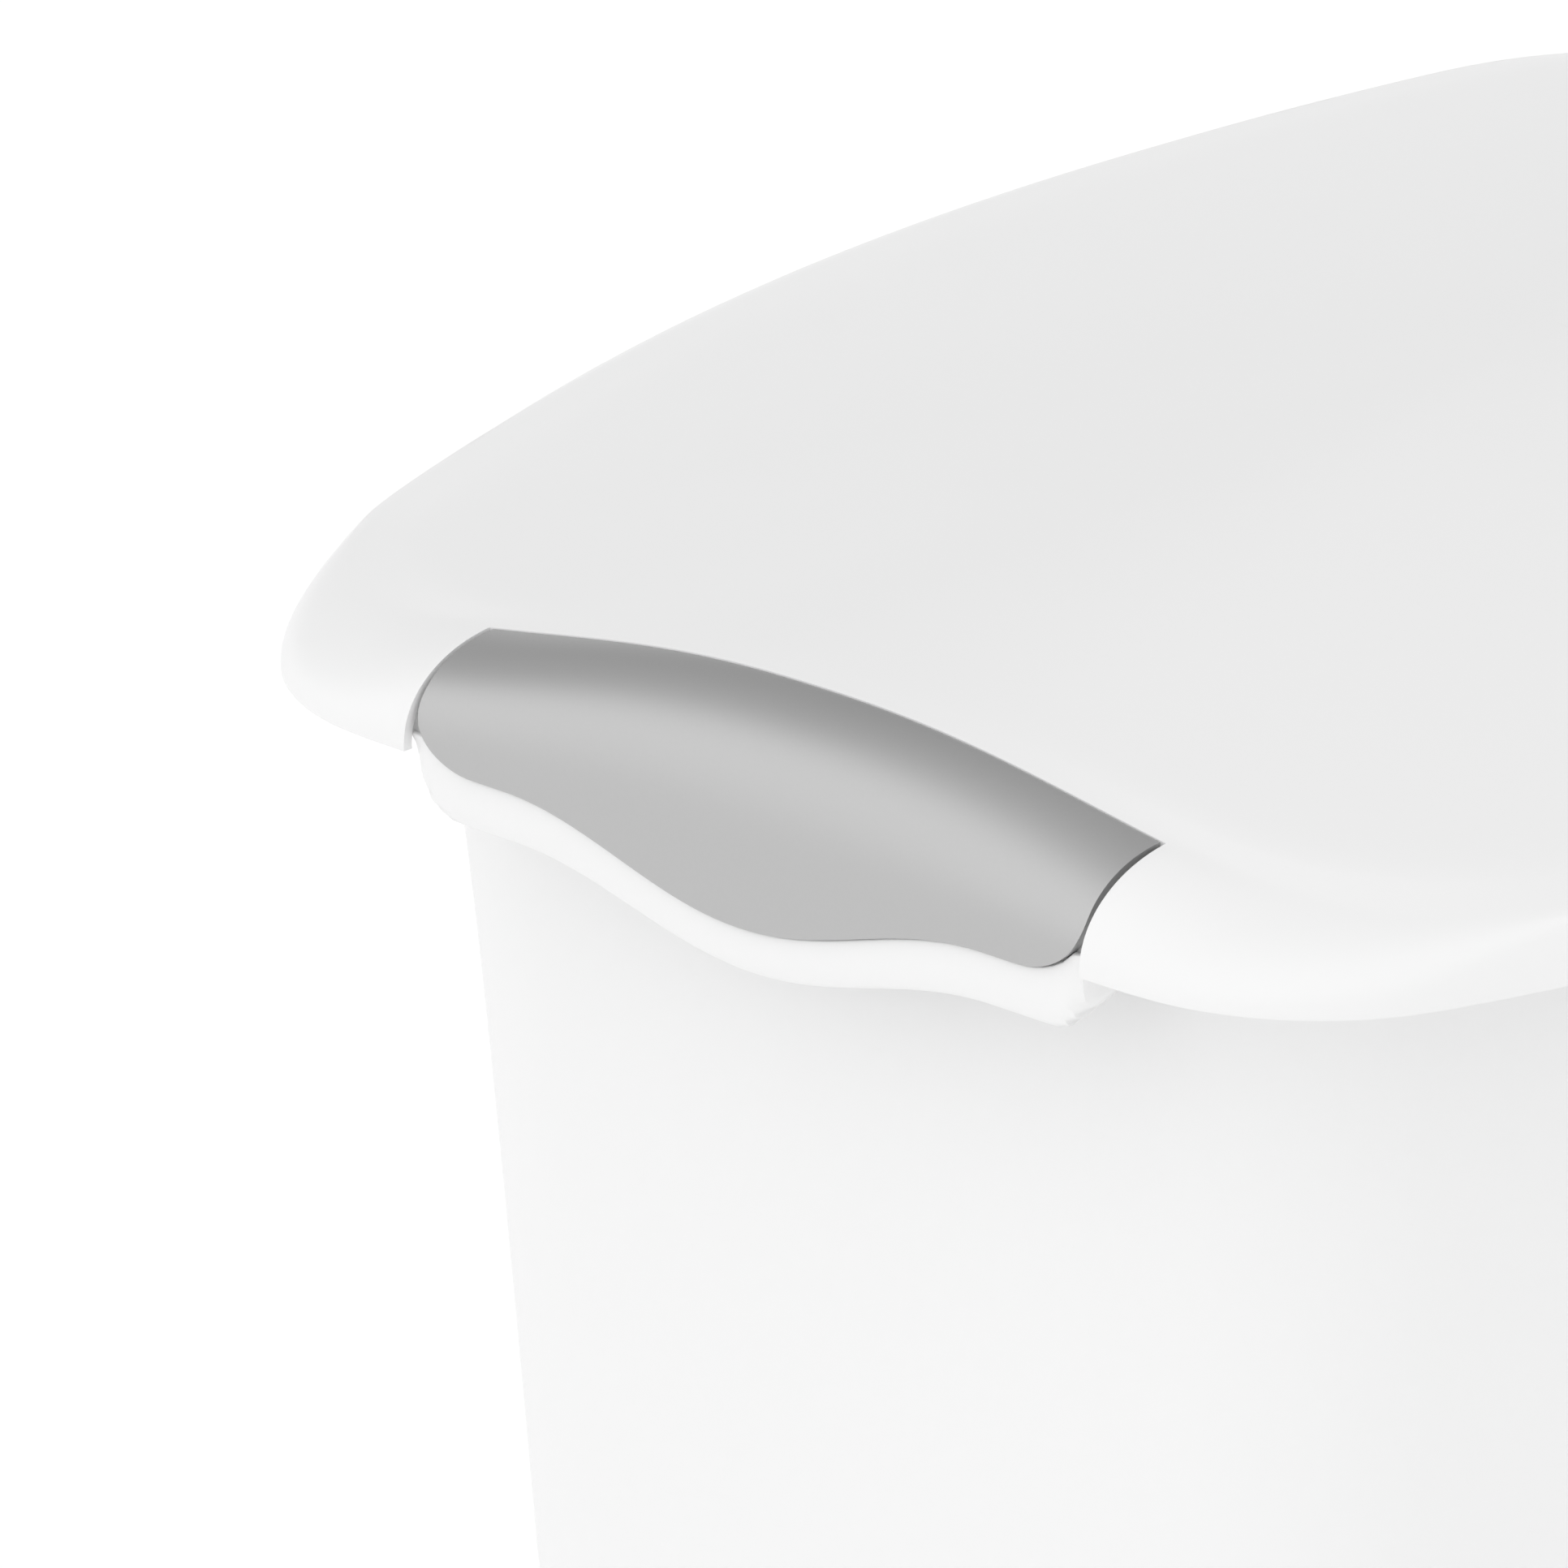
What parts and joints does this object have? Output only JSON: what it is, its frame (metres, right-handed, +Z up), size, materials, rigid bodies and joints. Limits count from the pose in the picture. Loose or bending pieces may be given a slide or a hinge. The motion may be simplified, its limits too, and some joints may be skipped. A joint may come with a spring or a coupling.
{
  "type": "laundry hamper",
  "caption": "Tall tapered plastic laundry hamper with a hinged lift-up lid and a curved metallic-look grip set into a hooked handle at each end.",
  "frame": {"origin": "middle of the footprint, on the floor", "axes": "+X along the length, from the left grip to the right one, -Y to the front, +Z up"},
  "size_m": [0.5014, 0.396, 0.65],
  "materials": {
    "tub_plastic": "white moulded polypropylene with a fine satin texture",
    "lid_plastic": "white moulded polypropylene with a fine satin texture",
    "grip_plastic": "satin metallic grey, fine grain",
    "pin_plastic": "smooth off-white acetal"
  },
  "bodies": {
    "hamper": {"tub": "tub_plastic", "left_grip": "grip_plastic", "right_grip": "grip_plastic", "left_hinge_pin": "pin_plastic", "right_hinge_pin": "pin_plastic"},
    "lid": {"lid": "lid_plastic"}
  },
  "joints": [
    {"name": "lid_hinge", "type": "hinge", "parent": "hamper", "child": "lid", "pos_m": [0, 0.1765, 0.622], "axis": [-1, 0, 0], "range_deg": [0, 100]}
  ]
}
